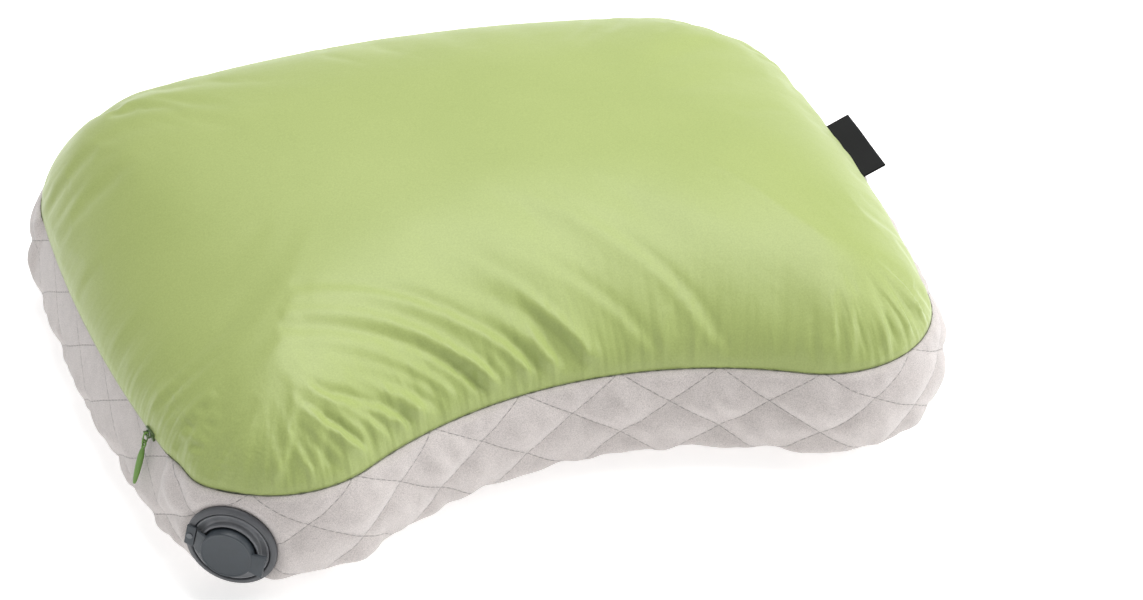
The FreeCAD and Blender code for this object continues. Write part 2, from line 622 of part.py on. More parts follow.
def zip_pull():
    """The moulded pull: an eye and a slim tapering grip."""
    eye = DOC.addObject("Part::Cylinder", "pull_eye")
    eye.setExpression("Radius", cell("eye_radius"))
    eye.setExpression("Height", cell("eye_thick"))
    hole = DOC.addObject("Part::Cylinder", "pull_eye_hole")
    hole.setExpression("Radius", cell("eye_hole"))
    hole.setExpression("Height", cell("eye_thick + 2"))
    centre = size("link_reach") + 0.2
    eye.Placement = Placement(Vector(centre, 0, -size("eye_thick") / 2), Rotation())
    hole.Placement = Placement(Vector(centre, 0, -size("eye_thick") / 2 - 1), Rotation())
    near, tip = centre + size("eye_radius") - 0.4, centre + size("pull_long")
    wide, narrow, thick = size("pull_wide") / 2, size("pull_tip_wide") / 2, size("pull_thick")
    waist = near + size("pull_waist")
    tips = [Vector(near, -narrow, 0), Vector(waist, -wide, 0), Vector(tip, -narrow, 0),
            Vector(tip, narrow, 0), Vector(waist, wide, 0), Vector(near, narrow, 0)]
    grip = Part.Face(Part.makePolygon(tips + [tips[0]]))
    grip.translate(Vector(0, 0, -thick / 2))
    grip = grip.extrude(Vector(0, 0, thick))
    body = DOC.addObject("Part::Feature", "pull_grip")
    body.Shape = grip.makeFillet(size("pull_round"), grip.Edges)
    keep(joined("zip_pull", [cut("pull_ring", eye, hole), body]), "zip_pull", pull_placement())


# ---- side label -----------------------------------------------------------------------------------
def side_tag():
    """A folded woven label, caught in the top seam of the right side."""
    tag = block("tag_block", ("0", "0 - tag_long / 2", "0 - tag_thick / 2"),
                ("tag_out", "tag_long / 2", "tag_thick / 2"))
    angle = math.asin((size("tag_spot") - SIDE.y) / size("side_radius"))
    spot = SIDE + Vector(math.cos(angle), math.sin(angle), 0) * (size("side_radius") + 0.1)
    spot.z = size("seam_z") + 0.8
    turn = Rotation(Vector(0, 0, 1), math.degrees(angle))
    tilt = turn.multiply(Rotation(Vector(0, 1, 0), -size("tag_tilt")))
    holder = DOC.addObject("Part::Compound", "tag_holder")
    holder.Links = [tag]
    keep(holder, "side_tag", Placement(spot, tilt))


def check_and_write():
    """Every object has to have built, and every sub-part has to be whole, before a file is written."""
    DOC.recompute()
    for item in DOC.Objects:
        if any(word in item.State for word in ("Invalid", "Error")):
            raise RuntimeError(f"{item.Name} did not build: {item.State}")
    os.makedirs("parts", exist_ok=True)
    for item in PARTS:
        shape = item.Shape
        if shape.isNull() or not shape.isValid() or shape.Volume <= 0:
            raise RuntimeError(f"{item.Label} is not a whole solid")
        shape.exportStep(f"parts/{item.Label}.step")
        print(f"{item.Label}: {len(shape.Solids)} solid, {shape.Volume / 1000:.3f} cm3")


top_panel()
top_fill()
fill_lining()
side_layers()
base_layers()
seam_bindings()
core_sheets()
hole_hem()
valve_flange()
valve_insert()
one_way_valve()
valve_cap()
strap_ear()
side_zip()
zip_slider()
pull_link()
zip_pull()
side_tag()
check_and_write()
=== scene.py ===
import json
import math
import random

import bpy
import numpy as np
from mathutils import Matrix, Vector


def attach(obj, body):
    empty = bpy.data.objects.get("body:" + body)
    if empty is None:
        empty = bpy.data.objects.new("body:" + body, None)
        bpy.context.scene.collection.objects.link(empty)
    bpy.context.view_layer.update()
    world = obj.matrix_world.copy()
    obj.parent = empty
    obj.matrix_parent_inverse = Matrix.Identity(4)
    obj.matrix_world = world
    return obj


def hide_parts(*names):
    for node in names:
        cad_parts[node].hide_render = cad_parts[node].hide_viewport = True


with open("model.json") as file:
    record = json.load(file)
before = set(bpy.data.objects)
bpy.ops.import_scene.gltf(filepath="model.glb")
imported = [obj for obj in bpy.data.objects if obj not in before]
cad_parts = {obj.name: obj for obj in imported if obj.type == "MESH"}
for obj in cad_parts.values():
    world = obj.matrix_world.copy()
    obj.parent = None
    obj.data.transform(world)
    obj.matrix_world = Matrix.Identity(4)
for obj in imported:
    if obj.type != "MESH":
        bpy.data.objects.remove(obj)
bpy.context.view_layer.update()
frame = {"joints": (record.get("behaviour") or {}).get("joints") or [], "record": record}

bpy.ops.object.select_all(action="DESELECT")
MM = 0.001

# ==== Camera, light and floor ======================================================================
# The pillow lies on a pale table in a bright studio. A large softbox hangs overhead, a little behind,
# and white walls give a broad, soft sheen along the crown.
AIM = Vector((23.6, -70, 52)) * MM
VIEW_TURN, VIEW_RISE, VIEW_AWAY = math.radians(-19.8), math.radians(35), 1.4
LAMP_TARGET = Vector((0, 0, 50)) * MM
toward_camera = Vector((math.sin(VIEW_TURN) * math.cos(VIEW_RISE),
                        -math.cos(VIEW_TURN) * math.cos(VIEW_RISE), math.sin(VIEW_RISE)))
camera_data = bpy.data.cameras.new("camera")
camera_data.lens, camera_data.sensor_width = 92.8, 36
camera = bpy.data.objects.new("camera", camera_data)
bpy.context.collection.objects.link(camera)
camera.location = AIM + toward_camera * VIEW_AWAY
camera.rotation_mode = "QUATERNION"
camera.rotation_quaternion = (-toward_camera).to_track_quat("-Z", "Y")
bpy.context.scene.camera = camera


def softbox(name, place, size, power):
    """A soft rectangular lamp turned towards the pillow."""
    light = bpy.data.lights.new(name, "AREA")
    light.shape, light.size, light.size_y = "RECTANGLE", size[0], size[1]
    light.energy = power
    lamp = bpy.data.objects.new(name, light)
    bpy.context.collection.objects.link(lamp)
    lamp.location = place
    lamp.rotation_mode = "QUATERNION"
    lamp.rotation_quaternion = (LAMP_TARGET - Vector(place)).to_track_quat("-Z", "Y")


softbox("overhead", (0.35, 0.25, 1.45), (1.4, 1.0), 23)
softbox("right_fill", (1.6, -0.4, 0.7), (1.0, 1.0), 13)
softbox("left_fill", (-1.6, -0.9, 0.8), (1.2, 0.8), 3.5)
world = bpy.data.worlds.new("studio")
bpy.context.scene.world = world
world.use_nodes = True
world.node_tree.nodes["Background"].inputs["Color"].default_value = (1, 1, 1, 1)
world.node_tree.nodes["Background"].inputs["Strength"].default_value = 0.42
bpy.context.scene.view_settings.view_transform = "Standard"

bpy.ops.mesh.primitive_plane_add(size=12, location=(0, 0, 0))
floor = bpy.context.object
floor.name = "floor"


def new_material(name, colour, roughness):
    """A material with its shader, ready for a pattern to be wired in."""
    made = bpy.data.materials.new(name)
    made.use_nodes = True
    shader = made.node_tree.nodes["Principled BSDF"]
    shader.inputs["Base Color"].default_value = (*colour, 1)
    shader.inputs["Roughness"].default_value = roughness
    return made, made.node_tree.nodes, made.node_tree.links, shader


table_finish, nodes, links, shader = new_material("pale_table", (0.9, 0.9, 0.9), 0.6)
shader.inputs["Emission Color"].default_value = (1, 1, 1, 1)
shader.inputs["Emission Strength"].default_value = 0.5
floor.data.materials.append(table_finish)


def assign(piece, finish):
    """Gives a piece one finish."""
    piece.data.materials.clear()
    piece.data.materials.append(finish)


# ==== The cut of the cover =========================================================================
# The plan is drawn as a pattern maker would: two round front lobes, a neck curve scooped between
# them, long slightly bowed sides and a gently bowed back. Every seam follows this outline.
LOBE, LOBE_R = np.array((131, -114)) * MM, 54.5 * MM
CORNER, CORNER_R = np.array((124, 80)) * MM, 75 * MM
SIDE_R, BACK_R, NECK_R = 900 * MM, 620 * MM, 200 * MM
zip_arc = next(j for j in frame["joints"] if j["name"] == "slider_travel")
SIDE = np.array((-zip_arc["pos_m"][0], zip_arc["pos_m"][1]))
BACK = np.array((0, CORNER[1] - math.sqrt((BACK_R - CORNER_R) ** 2 - CORNER[0] ** 2)))
NECK = np.array((0, LOBE[1] - math.sqrt((NECK_R + LOBE_R) ** 2 - LOBE[0] ** 2)))
BASE_SEAM_Z, SEAM_Z = 9 * MM, 52 * MM


def heading(from_point, to_point):
    """Angle of the line from one plan point to another."""
    return math.atan2(to_point[1] - from_point[1], to_point[0] - from_point[0])


# centre, radius, first and last angle, and which way the cloth side faces from the centre
HALF_RUN = [
    (NECK, NECK_R, math.pi / 2, heading(NECK, LOBE), -1),
    (LOBE, LOBE_R, heading(NECK, LOBE) - math.pi, heading(SIDE, LOBE), 1),
    (SIDE, SIDE_R, heading(SIDE, LOBE), heading(SIDE, CORNER), 1),
    (CORNER, CORNER_R, heading(SIDE, CORNER), heading(BACK, CORNER), 1),
    (BACK, BACK_R, heading(BACK, CORNER), math.pi / 2, 1),
]
HALF_LENGTH = sum(abs(end - start) * radius for _, radius, start, end, _ in HALF_RUN)
ROUND = 2 * HALF_LENGTH


def seam_point(run):
    """Plan place and outward direction at a run along the outline, rightwards from the neck's middle."""
    run = np.asarray(run, float) % ROUND
    left = run > HALF_LENGTH
    rest = np.where(left, ROUND - run, run)
    place, out = np.zeros((len(rest), 2)), np.zeros((len(rest), 2))
    begun = 0.0
    for centre, radius, start, end, facing in HALF_RUN:
        length = abs(end - start) * radius
        here = (rest >= begun - 1e-9) & (rest <= begun + length + 1e-9)
        angle = start + (end - start) * (rest[here] - begun) / length
        ray = np.stack((np.cos(angle), np.sin(angle)), 1)
        place[here] = centre + ray * radius
        out[here] = ray * facing
        begun += length
    place[left, 0] *= -1
    out[left, 0] *= -1
    return place, out


def run_of(arc, share):
    """Distance along the outline to a share of one arc of the right half."""
    lengths = [abs(end - start) * radius for _, radius, start, end, _ in HALF_RUN]
    return sum(lengths[:arc]) + lengths[arc] * share


def waves(run, seed, longest, shortest, count):
    """A smooth uneven wave along the outline, which joins up after one round."""
    draw = random.Random(seed)
    total = np.zeros_like(run)
    for _ in range(count):
        turns = round(ROUND / (longest + (shortest - longest) * draw.random()))
        total += draw.uniform(0.5, 1) * np.sin(2 * math.pi * turns * run / ROUND + draw.uniform(0, 6.28))
    return total / math.sqrt(count)


def smooth(value, low, high):
    """0 below low, 1 above high and a soft step between."""
    step = np.clip((value - low) / (high - low), 0, 1)
    return step * step * (3 - 2 * step)


RIM_RUN = np.linspace(0, ROUND, 1400, endpoint=False)
RIM_PLACE, RIM_OUT = seam_point(RIM_RUN)
LOBE_TURN, CORNER_TURN = run_of(1, 0.55), run_of(3, 0.5)


def patch(across, along, crowd=0.8):
    """Plan places of a grid stretched over the outline, its rows crowded towards the edges."""
    def spread(count):
        even = np.linspace(0, 1, count)
        return (1 - crowd) * even + crowd * (0.5 - 0.5 * np.cos(math.pi * even))

    u, v = spread(across), spread(along)
    front = seam_point(-LOBE_TURN + 2 * LOBE_TURN * u)[0]
    back_run = ROUND - CORNER_TURN + (2 * CORNER_TURN - ROUND) * u
    back = seam_point(back_run)[0]
    right = seam_point(LOBE_TURN + (CORNER_TURN - LOBE_TURN) * v)[0]
    left = right * (-1, 1)
    uu, vv = u[None, :, None], v[:, None, None]
    flat = ((1 - vv) * front[None] + vv * back[None] + (1 - uu) * left[:, None] + uu * right[:, None]
            - (1 - uu) * (1 - vv) * front[0] - uu * (1 - vv) * front[-1]
            - (1 - uu) * vv * back[0] - uu * vv * back[-1])
    return flat.reshape(-1, 2)


RIM_NEAR, RIM_TOUCH = 6 * MM, 0.05 * MM


def to_rim(flat):
    """Distance from each plan place to the outline, and the run of the outline's nearest point."""
    away, run = np.empty(len(flat)), np.empty(len(flat))
    for first in range(0, len(flat), 2000):
        gap = flat[first:first + 2000, None, :] - RIM_PLACE[None]
        square = (gap**2).sum(2)
        nearest = square.argmin(1)
        offset = flat[first:first + 2000] - RIM_PLACE[nearest]
        out = RIM_OUT[nearest]
        past = out[:, 0] * offset[:, 1] - out[:, 1] * offset[:, 0]
        away[first:first + 2000] = np.abs((offset * out).sum(1))
        far = square.min(1) > RIM_NEAR ** 2
        away[first:first + 2000][far] = np.sqrt(square.min(1)[far])
        run[first:first + 2000] = RIM_RUN[nearest] + np.where(far, 0, past)
    away[away < RIM_TOUCH] = 0
    return away, run


def lay_cut(piece, u, v):
    """Keeps each point's place on the flat cloth as its UV, so that a pattern follows the cloth."""
    layer = piece.data.uv_layers.new(name="cut")
    for loop in piece.data.loops:
        layer.data[loop.index].uv = (u[loop.vertex_index], v[loop.vertex_index])


def grid_piece(name, across, along, places):
    """A flat grid of cloth, its corners moved to their places."""
    bpy.ops.mesh.primitive_grid_add(x_subdivisions=across - 1, y_subdivisions=along - 1, size=1)
    piece = bpy.context.object
    piece.name = name
    piece.data.vertices.foreach_set("co", np.asarray(places, np.float32).ravel())
    piece.data.update()
    bpy.ops.object.select_all(action="DESELECT")
    return piece


def points_of(piece):
    """Places of a piece's points, as rows."""
    flat = np.empty(len(piece.data.vertices) * 3, np.float32)
    piece.data.vertices.foreach_get("co", flat)
    return flat.reshape(-1, 3).astype(float)


def place_points(piece, points):
    """Moves a piece's points to the given places."""
    piece.data.vertices.foreach_set("co", np.asarray(points, np.float32).ravel())
    piece.data.update()


def faces_outward(piece):
    """Turns every face of a closed piece outwards."""
    bpy.ops.object.select_all(action="DESELECT")
    piece.select_set(True)
    bpy.context.view_layer.objects.active = piece
    bpy.ops.object.mode_set(mode="EDIT")
    bpy.ops.mesh.select_all(action="SELECT")
    bpy.ops.mesh.normals_make_consistent(inside=False)
    bpy.ops.object.mode_set(mode="OBJECT")


def finish_modifier(piece, kind, **settings):
    """Adds one modifier and applies it."""
    bpy.ops.object.select_all(action="DESELECT")
    piece.select_set(True)
    bpy.context.view_layer.objects.active = piece
    modifier = piece.modifiers.new(kind.lower(), kind)
    for word, value in settings.items():
        setattr(modifier, word, value)
    bpy.ops.object.modifier_apply(modifier=modifier.name)


def weigh(piece, name, values):
    """A vertex group in steps of a tenth."""
    group = piece.vertex_groups.new(name=name)
    for step in range(1, 11):
        group.add(np.nonzero(np.round(values * 10) == step)[0].tolist(), step / 10, "REPLACE")


def inflate(piece, held, slack, push, frames=18, cap=6 * MM):
    """Blows the cloth up against its held stitches, with a little slack in it, then caps its travel."""
    before = points_of(piece)
    weigh(piece, "held", held)
    weigh(piece, "slack", slack)
    modifier = piece.modifiers.new("cloth", "CLOTH")
    cloth = modifier.settings
    cloth.quality, cloth.mass, cloth.air_damping = 6, 0.12, 2
    cloth.tension_stiffness = cloth.compression_stiffness = 14
    cloth.shear_stiffness, cloth.bending_stiffness = 6, 0.12
    cloth.use_pressure, cloth.uniform_pressure_force = True, push
    cloth.vertex_group_mass = "held"
    cloth.vertex_group_shrink, cloth.shrink_min, cloth.shrink_max = "slack", 0.0, -0.07
    cloth.effector_weights.gravity = 0
    modifier.point_cache.frame_start, modifier.point_cache.frame_end = 1, frames
    scene = bpy.context.scene
    scene.frame_start, scene.frame_end = 1, frames
    for step in range(1, frames + 1):
        scene.frame_set(step)
    solved = piece.evaluated_get(bpy.context.evaluated_depsgraph_get())
    after = np.array([v.co for v in solved.data.vertices], float)
    piece.modifiers.remove(modifier)
    scene.frame_set(1)
    move = after - before
    far = np.linalg.norm(move, axis=1)
    move *= np.minimum(1, cap / np.maximum(far, 1e-9))[:, None]
    place_points(piece, before + move)
    piece.vertex_groups.clear()


# ==== Top panel ====================================================================================
# The padded top is one piece of thin satin nylon, cut larger than the seam and eased into it, so it
# gathers along the scooped front. Fibre fill crowns it.
def crown_height(away, flat, reach, rise, bow):
    """Height over the seam: round shoulders at the edge, then a low bow over the whole top."""
    share = np.clip(away / reach, 0, 1)
    shoulder = (1 - (1 - share) ** 2.3) ** (1 / 2.0)
    middle = (1 - (flat[:, 0] / (205 * MM)) ** 2) * (1 - ((flat[:, 1] - 5 * MM) / (180 * MM)) ** 2)
    return rise * shoulder + bow * np.clip(middle, 0, 1) * smooth(away, 0, 60 * MM)


def gathers(run, away, seed, stretches):
    """Folds where cloth is eased into a seam.

    Each stretch of seam has its first and last run, and its folds' spacing, height, length and lean.
    """
    draw = random.Random(seed)
    total = np.zeros_like(run)
    for first, last, apart, tall, long, slant in stretches:
        place = first
        while place < last:
            height, reach = tall * draw.uniform(0.3, 1.25), long * draw.uniform(0.3, 1.35)
            lean = slant + draw.uniform(-0.22, 0.22)
            width = apart * draw.uniform(0.12, 0.2) + 0.032 * away
            across = (run - place - lean * away + HALF_LENGTH) % ROUND - HALF_LENGTH
            side = draw.choice((-1, 1)) * 1.7 * width
            hollow = 0.8 * np.exp(-((across - side) / (0.8 * width)) ** 2)
            fold = np.exp(-np.abs(across / width) ** 1.4) - hollow
            total += height * fold * smooth(away, 0, 4 * MM) * np.exp(-(away / reach) ** 1.6)
            place += apart * draw.uniform(0.55, 1.45)
    return total


def tuck(run):
    """How the left front corner puffs over the end of the zip: a bulge, and the crease that it hides."""
    signed = (run + HALF_LENGTH) % ROUND - HALF_LENGTH
    bulge = 1.6 * np.exp(-((signed + 188 * MM) / (10 * MM)) ** 2)
    crease = 1.5 * np.exp(-((signed + 206 * MM) / (8 * MM)) ** 2)
    return (bulge - crease) * MM


TOP_ACROSS, TOP_ALONG = 204, 104
SHOULDER_REACH, SHOULDER_RISE, CROWN_BOW = 82 * MM, 38.5 * MM, 13 * MM
# first and last run from the neck's middle, spacing, height and length in millimetres, and lean
FRONT_GATHERS = [
    (-158, 118, 7.5, 0.8, 8, 0.0), (-150, 20, 13, 1.8, 24, -0.6), (-110, 15, 20, 3.5, 50, -1.1),
    (15, 70, 24, 1.3, 40, -0.9),
    (45, 125, 15, 0.9, 24, 0.1), (112, 190, 8, 1.1, 12, 0.0), (122, 188, 15, 1.3, 30, 0.25),
    (-182, -140, 8, 1.2, 12, 0.2), (-178, -128, 17, 2.1, 34, 0.45), (-236, -192, 8, 1.9, 34, 0.15),
]
REAR_GATHERS = [
    (-420, -240, 22, 0.5, 20, 0.0), (190, 420, 22, 0.5, 20, 0.0), (420, 850, 17, 0.8, 24, 0.2),
]
GATHERS = [tuple(part * MM for part in row[:5]) + row[5:] for row in FRONT_GATHERS + REAR_GATHERS]
top_flat = patch(TOP_ACROSS, TOP_ALONG)
top_away, top_run = to_rim(top_flat)
front_run = (top_run + HALF_LENGTH) % ROUND - HALF_LENGTH
scoop = np.exp(-(front_run / (120 * MM)) ** 2)
left_front = np.exp(-((front_run + 205 * MM) / (60 * MM)) ** 2)
# the fill has settled a little towards the left back, and the folds fade out over each round lobe
settled = -9 * MM * top_flat[:, 0] / (200 * MM) * smooth(top_flat[:, 1], -70 * MM, 70 * MM)
top_height = (crown_height(top_away, top_flat, SHOULDER_REACH, SHOULDER_RISE, CROWN_BOW)
              + settled * smooth(top_away, 0, 25 * MM))
long_waves = 0.8 * MM * waves(front_run + 0.4 * top_away, 5, 60 * MM, 35 * MM, 6)
in_lobe = smooth(np.abs(front_run), 98 * MM, 122 * MM) * (1 - smooth(np.abs(front_run), 200 * MM, 225 * MM))
flattened = 1 - in_lobe * smooth(top_away, 12 * MM, 38 * MM)
folds = gathers(front_run, top_away, 8, GATHERS)
rolling = (0.25 + scoop + left_front) * np.exp(-top_away / (60 * MM)) * smooth(top_away, 0, 12 * MM)
lift = flattened * (folds + long_waves * rolling)
rim_out = seam_point(top_run)[1]
slope = 1 - smooth(top_away, 0, 55 * MM)
corner = tuck(front_run) * np.exp(-top_away / (12 * MM))
top_places = np.column_stack((top_flat + rim_out * (lift * slope + corner)[:, None],
                              SEAM_Z + top_height + lift * (1 - 0.5 * slope)))
top_panel = grid_piece("top_panel_shell", TOP_ACROSS, TOP_ALONG, top_places)
lay_cut(top_panel, front_run / (10 * MM), top_away / (10 * MM))
eased = (0.12 + smooth(-front_run, -125 * MM, -60 * MM) * smooth(front_run, -185 * MM, -150 * MM)
         + 0.8 * smooth(front_run, 105 * MM, 130 * MM) * smooth(-front_run, -200 * MM, -175 * MM)
         + 0.7 * left_front) * np.exp(-top_away / (16 * MM)) * flattened
eased_layer = top_panel.data.attributes.new("eased", "FLOAT", "POINT")
eased_layer.data.foreach_set("value", eased.astype(np.float32))
seam_held = (top_away < 0.2 * MM).astype(float)
top_slack = np.clip(0.25 + 0.75 * scoop * np.exp(-top_away / (70 * MM)) + 0.3 * left_front, 0, 1)
inflate(top_panel, seam_held, top_slack, push=2.0, frames=14, cap=5 * MM)
finish_modifier(top_panel, "SUBSURF", levels=1, render_levels=1)
finish_modifier(top_panel, "SOLIDIFY", thickness=0.35 * MM, offset=-1)
bpy.ops.object.shade_smooth()
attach(top_panel, "pillow")
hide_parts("top_panel")


def noise(nodes, links, coords, scale, detail=3.0, roughness=0.5):
    made = nodes.new("ShaderNodeTexNoise")
    made.inputs["Scale"].default_value = scale
    made.inputs["Detail"].default_value = detail
    made.inputs["Roughness"].default_value = roughness
    links.new(coords, made.inputs["Vector"])
    return made.outputs["Fac"]


def ramp(nodes, links, factor, stops):
    made = nodes.new("ShaderNodeValToRGB")
    for end, (position, colour) in zip(made.color_ramp.elements, (stops[0], stops[-1])):
        end.position, end.color = position, (*colour, 1)
    for position, colour in stops[1:-1]:
        made.color_ramp.elements.new(position).color = (*colour, 1)
    links.new(factor, made.inputs["Fac"])
    return made.outputs["Color"]


def bump(nodes, links, height, strength, distance, shader, under=None):
    made = nodes.new("ShaderNodeBump")
    made.inputs["Strength"].default_value = strength
    made.inputs["Distance"].default_value = distance
    links.new(height, made.inputs["Height"])
    if under is not None:
        links.new(under, made.inputs["Normal"])
    links.new(made.outputs["Normal"], shader.inputs["Normal"])
    return made.outputs["Normal"]


def maths(nodes, links, kind, first, second=None):
    made = nodes.new("ShaderNodeMath")
    made.operation = kind
    for socket, value in zip(made.inputs, (first, second)):
        if value is None:
            continue
        if isinstance(value, (int, float)):
            socket.default_value = value
        else:
            links.new(value, socket)
    return made.outputs[0]


def threads(nodes, links, coords, pitch):
    """A plain weave: two sets of threads that cross, as fine ridges."""
    parts = nodes.new("ShaderNodeSeparateXYZ")
    links.new(coords, parts.inputs[0])
    turns = 2 * math.pi / pitch
    slants = []
    for one, other in (("X", "Y"), ("Y", "X")):
        shifted = maths(nodes, links, "ADD", parts.outputs[one],
                        maths(nodes, links, "MULTIPLY", parts.outputs["Z"], 0.7))
        slants.append(maths(nodes, links, "SINE", maths(nodes, links, "MULTIPLY", shifted, turns)))
    return maths(nodes, links, "MULTIPLY", slants[0], slants[1])


nylon, nodes, links, shader = new_material("green_satin_nylon", (0.36, 0.432, 0.142), 0.45)
coords = nodes.new("ShaderNodeTexCoord").outputs["Object"]
cloud = noise(nodes, links, coords, 14, 3)
base = ramp(nodes, links, cloud, [(0.3, (0.348, 0.420, 0.135)), (0.7, (0.374, 0.446, 0.150))])
grain = ramp(nodes, links, noise(nodes, links, coords, 1300, 2, 0.7),
             [(0.3, (0.84, 0.85, 0.80)), (0.7, (1.0, 1.0, 1.0))])
grained = nodes.new("ShaderNodeMix")
grained.data_type, grained.blend_type = "RGBA", "MULTIPLY"
grained.inputs["Factor"].default_value = 1.0
links.new(base, grained.inputs["A"])
links.new(grain, grained.inputs["B"])
links.new(grained.outputs["Result"], shader.inputs["Base Color"])
shader.inputs["Sheen Weight"].default_value = 0.35
shader.inputs["Sheen Roughness"].default_value = 0.35
shader.inputs["Sheen Tint"].default_value = (0.9, 1.0, 0.75, 1)
shader.inputs["Specular IOR Level"].default_value = 0.45
weave_bump = bump(nodes, links, threads(nodes, links, coords, 0.9 * MM), 0.16, 0.0001, shader)
crumple_bump = bump(nodes, links, noise(nodes, links, coords, 95, 4, 0.6), 0.16, 0.0012, shader, weave_bump)
cut = nodes.new("ShaderNodeUVMap")
cut.uv_map = "cut"
stretched = nodes.new("ShaderNodeMapping")
stretched.inputs["Scale"].default_value = (1.0, 0.22, 1.0)
links.new(cut.outputs["UV"], stretched.inputs["Vector"])
streak = noise(nodes, links, stretched.outputs["Vector"], 1.9, 1, 0.4)
ease = nodes.new("ShaderNodeAttribute")
ease.attribute_name = "eased"
bump(nodes, links, maths(nodes, links, "MULTIPLY", streak, ease.outputs["Fac"]), 0.7, 0.0032, shader,
     crumple_bump)
assign(top_panel, nylon)

# ==== Side band ====================================================================================
# The band is brushed microfibre quilted to its wadding in diamonds. It is stitched flat along the
# quilting lines and swells between them, and puckers where it is eased into the seams.
DIAMOND_WIDE, DIAMOND_TALL, DIAMOND_ACROSS = 47 * MM, 38 * MM, 29.6 * MM
BAND_CLOTH, STITCH_HALF = 56 * MM, 1.1 * MM
BAND_AROUND, BAND_UP = 600, 31
diamonds = round(ROUND / DIAMOND_WIDE)


def stitch_lines(run, height):
    """Distance in the cloth to the nearest quilting line, both slanting ways, as a share of a diamond."""
    a = run / (ROUND / diamonds)
    b = height / DIAMOND_TALL
    first = np.abs(((a + b + 0.5) % 1) - 0.5)
    second = np.abs(((a - b + 0.5) % 1) - 0.5)
    return np.minimum(first, second), first, second


def band_out(run, share):
    """How far the band stands out of the seam outline, from its foot (0) to its top (1)."""
    bulge = 6.0 * MM * np.sin(math.pi * np.clip(share, 0, 1)) ** 0.75
    swell = waves(run, 21, 130 * MM, 60 * MM, 6)
    return bulge + 0.9 * MM * swell * np.sin(math.pi * share)


def sew(piece):
    """Joins the edges that meet and turns every face outwards."""
    bpy.ops.object.select_all(action="DESELECT")
    piece.select_set(True)
    bpy.context.view_layer.objects.active = piece
    bpy.ops.object.mode_set(mode="EDIT")
    bpy.ops.mesh.select_all(action="SELECT")
    bpy.ops.mesh.remove_doubles(threshold=0.00001)
    bpy.ops.mesh.normals_make_consistent(inside=False)
    bpy.ops.object.mode_set(mode="OBJECT")


# the valve's own frame, from its port and hinge: right, up and out of the wall
port = next(m for m in frame["record"]["mounts"] if m["name"] == "inflation_port")
cap_joint = next(j for j in frame["joints"] if j["name"] == "cap_hinge")
valve_out = Vector(port["axis"]).normalized()
valve_up = -Vector(cap_joint["axis"]).normalized()
valve_right = valve_up.cross(valve_out)
valve_at = Vector(port["pos_m"]) + valve_out * 0.7 * MM
VALVE = Matrix((valve_right, valve_up, valve_out)).transposed().to_4x4()
VALVE.translation = valve_at


SEAT_FLAT, SEAT_FREE, SEAT_LIP_R, SEAT_LIP_WIDE = 22 * MM, 34 * MM, 25 * MM, 3 * MM


def seat_valve(points):
    """Presses cloth flat behind the valve's flange and lets it swell a little round the rim."""
    local = (points - np.array(valve_at)) @ np.array((valve_right, valve_up, valve_out)).T
    radius = np.linalg.norm(local[:, :2], axis=1)
    near = (radius < 35 * MM) & (np.abs(local[:, 2]) < 20 * MM)
    lip = 1.3 * MM * np.exp(-((radius - SEAT_LIP_R) / SEAT_LIP_WIDE) ** 2)
    wanted = np.minimum(local[:, 2], -0.5 * MM) + lip
    blend = 1 - smooth(radius, SEAT_FLAT, SEAT_FREE)
    local[:, 2] = np.where(near, local[:, 2] + (wanted - local[:, 2]) * blend, local[:, 2])
    return local @ np.array((valve_right, valve_up, valve_out)) + np.array(valve_at), radius, near


# the zip lies along most of the left side, where the panels part a little
ZIP_FRONT, ZIP_BACK = math.radians(-10.3), math.radians(2.5)
ZIP_FADE = 6 * MM
side_start = sum(abs(e - b) * r for _, r, b, e, _ in HALF_RUN[:2])
zip_run_front = ROUND - (side_start + (ZIP_FRONT - HALF_RUN[2][2]) * SIDE_R)
zip_run_back = ROUND - (side_start + (ZIP_BACK - HALF_RUN[2][2]) * SIDE_R)


def zip_open(run):
    """1 along the zip, fading out within a few millimetres past its ends."""
    past_back = smooth(run, zip_run_back - ZIP_FADE, zip_run_back)
    return past_back * (1 - smooth(run, zip_run_front, zip_run_front + ZIP_FADE))


ZIP_PART, HOLE_R = 0.9 * MM, 12.5 * MM
around = np.linspace(HALF_LENGTH, HALF_LENGTH + ROUND, BAND_AROUND)
upward = np.linspace(0, 1, BAND_UP)
band_run = np.tile(around, BAND_UP)
band_share = np.repeat(upward, BAND_AROUND)
band_height = band_share * BAND_CLOTH
nearest_line, first_line, second_line = stitch_lines(band_run, band_height)
puff = np.abs(np.sin(math.pi * first_line) * np.sin(math.pi * second_line)) ** 0.55
edge_free = np.sin(math.pi * band_share) ** 0.6
pucker = waves(band_run, 31, 17 * MM, 8 * MM, 9) * (np.exp(-band_share / 0.16)
                                                    + np.exp((band_share - 1) / 0.14))
droop = waves(band_run, 41, 60 * MM, 28 * MM, 6)
lumps = waves(band_run + 0.5 * band_height, 51, 26 * MM, 14 * MM, 8)
foot_roll = band_share / 0.09 * np.exp(1 - band_share / 0.09)
head_roll = (1 - band_share) / 0.07 * np.exp(1 - (1 - band_share) / 0.07)
scallop = 0.5 + 0.5 * waves(band_run, 71, 38 * MM, 20 * MM, 7)
stand_out = (band_out(band_run, band_share) + (3.8 * puff - 0.9) * MM * edge_free
             + (1.5 * pucker + 1.1 * lumps * puff) * MM * edge_free
             + tuck(band_run) * smooth(band_share, 0, 0.7)
             + (1.2 + 1.6 * scallop) * MM * foot_roll + 0.7 * MM * head_roll)
